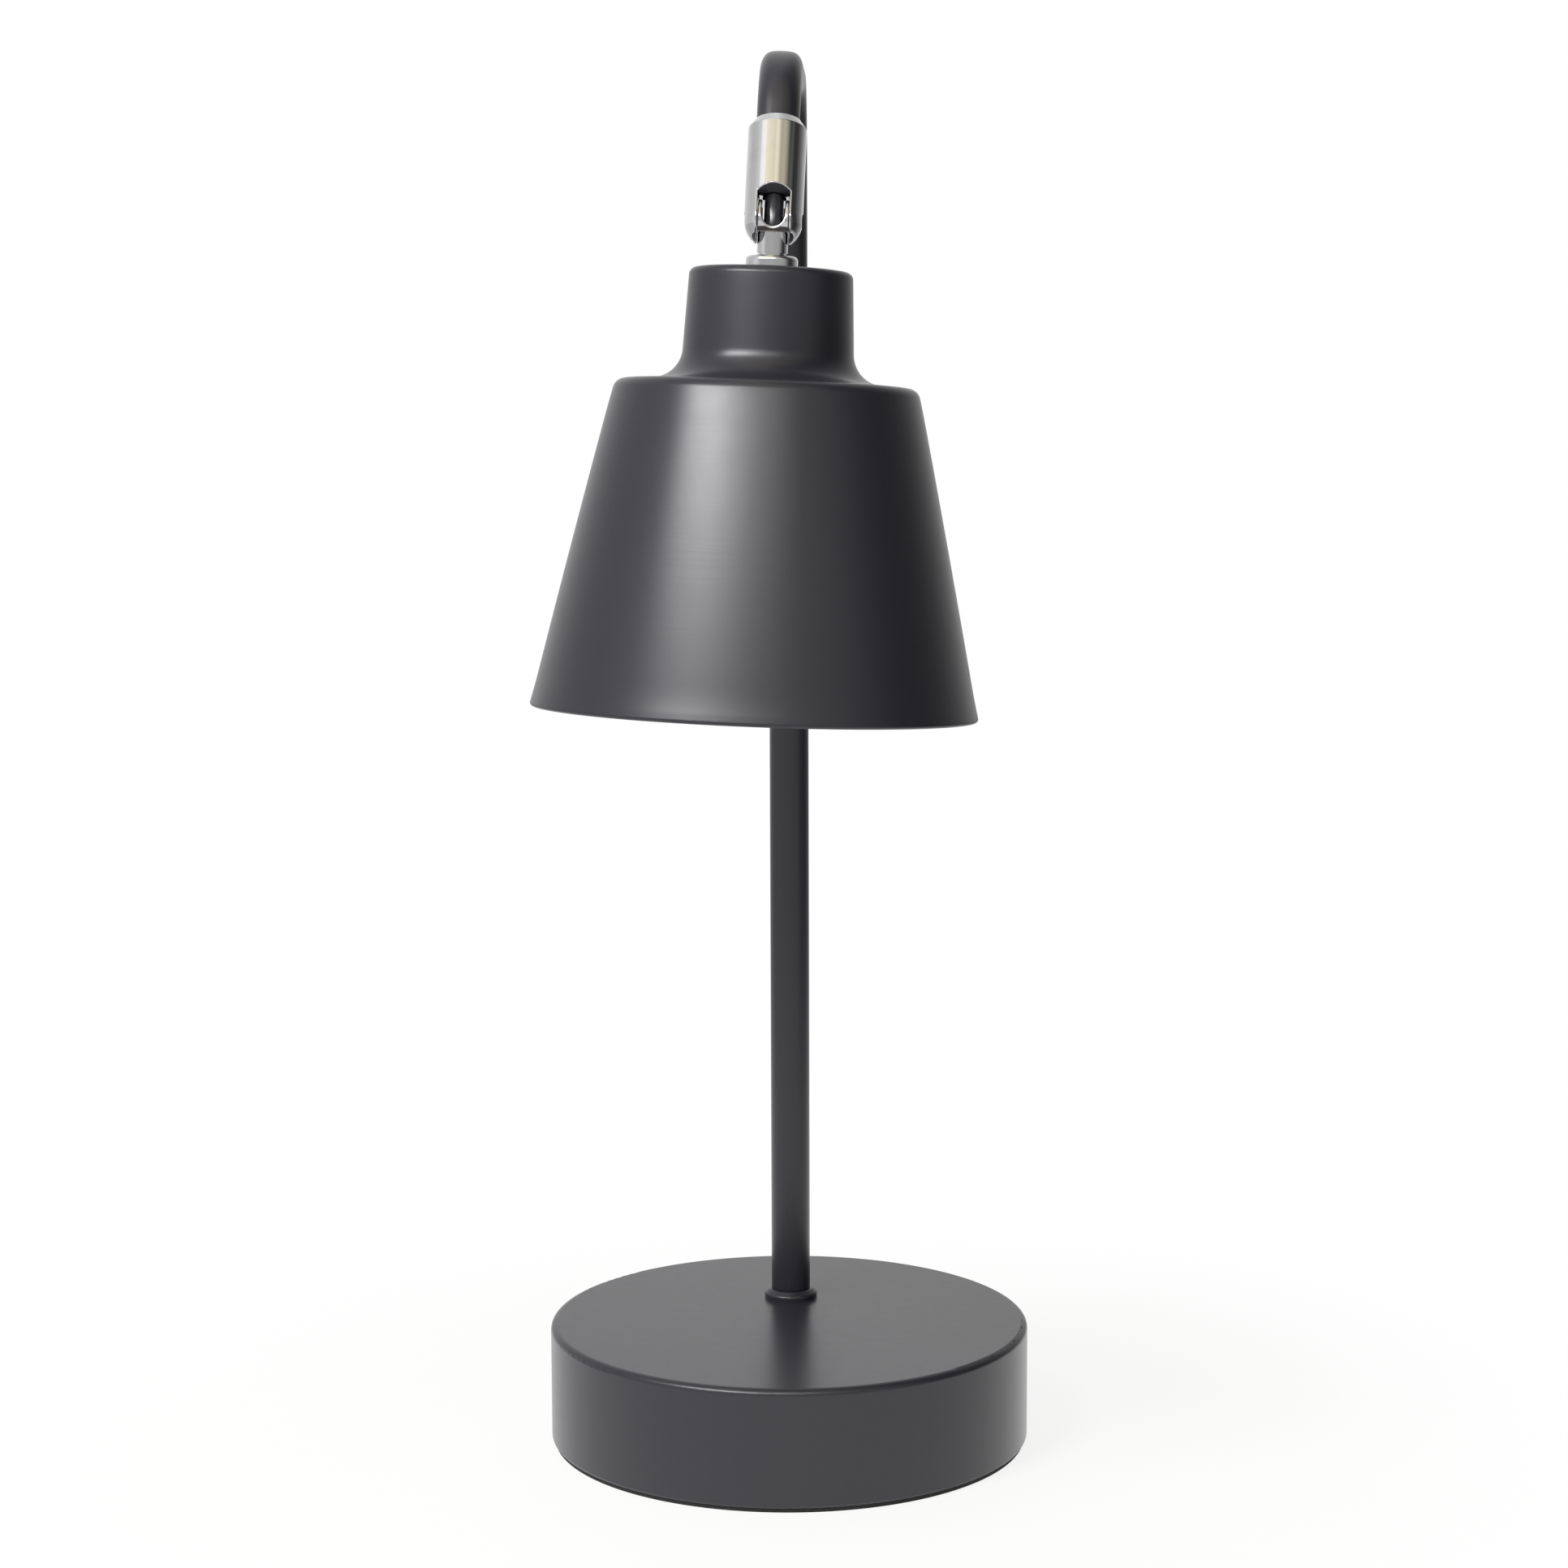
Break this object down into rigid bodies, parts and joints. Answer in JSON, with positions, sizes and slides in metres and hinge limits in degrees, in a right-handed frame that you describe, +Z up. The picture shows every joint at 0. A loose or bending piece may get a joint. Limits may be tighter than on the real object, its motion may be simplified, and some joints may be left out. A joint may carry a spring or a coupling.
{
  "type": "angled arm desk lamp",
  "caption": "Desk lamp with a round weighted base, a bent tube stand and a metal cone shade that tips on a hollow chromed knuckle.",
  "frame": {"origin": "centre of the base, on the surface that the lamp stands on", "axes": "+Z up, -Y the way the lamp faces, +X to the right of someone facing the lamp"},
  "size_m": [0.1526, 0.2195, 0.4343],
  "materials": {
    "grey_paint": "satin powder coat",
    "cast_weight": "as cast",
    "zinc_steel": "zinc plated",
    "soft_pad": "matt foam rubber",
    "black_plastic": "moulded",
    "white_plastic": "moulded",
    "black_flex": "glossy cable sheath",
    "knuckle_chrome": "polished",
    "dark_screw": "blackened",
    "brass": "plain",
    "nickel_cap": "rolled thread",
    "opal_glass": "opal"
  },
  "bodies": {
    "stand": {"base_shell": "grey_paint", "base_weight": "cast_weight", "base_plate": "zinc_steel", "plate_pillars": "zinc_steel", "base_plate_screws": "zinc_steel", "base_pad": "soft_pad", "cord_grommet": "black_plastic", "terminal_block": "white_plastic", "terminal_screws": "zinc_steel", "pole": "grey_paint", "pole_foot_ring": "grey_paint", "pole_nipple": "zinc_steel", "nipple_washer": "zinc_steel", "nipple_nut": "zinc_steel", "supply_flex": "black_flex", "knuckle_collar": "knuckle_chrome", "collar_grub_screw": "dark_screw", "pivot_screws": "dark_screw"},
    "shade": {"knuckle_tongue": "knuckle_chrome", "shade_shell": "grey_paint", "shade_flex": "black_flex", "holder_washer": "zinc_steel", "holder_nut": "zinc_steel", "holder_cap": "black_plastic", "holder_body": "black_plastic", "holder_insert": "white_plastic", "holder_thread": "brass", "holder_contact": "brass", "bulb_contact": "brass", "bulb_insulator": "black_plastic", "bulb_cap": "nickel_cap", "bulb_globe": "opal_glass"}
  },
  "joints": [
    {"name": "shade_tilt", "type": "hinge", "parent": "stand", "child": "shade", "pos_m": [-0.00189, -0.06912, 0.38393], "axis": [-0.9991, 0, 0.0419], "range_deg": [-11, 80]}
  ]
}
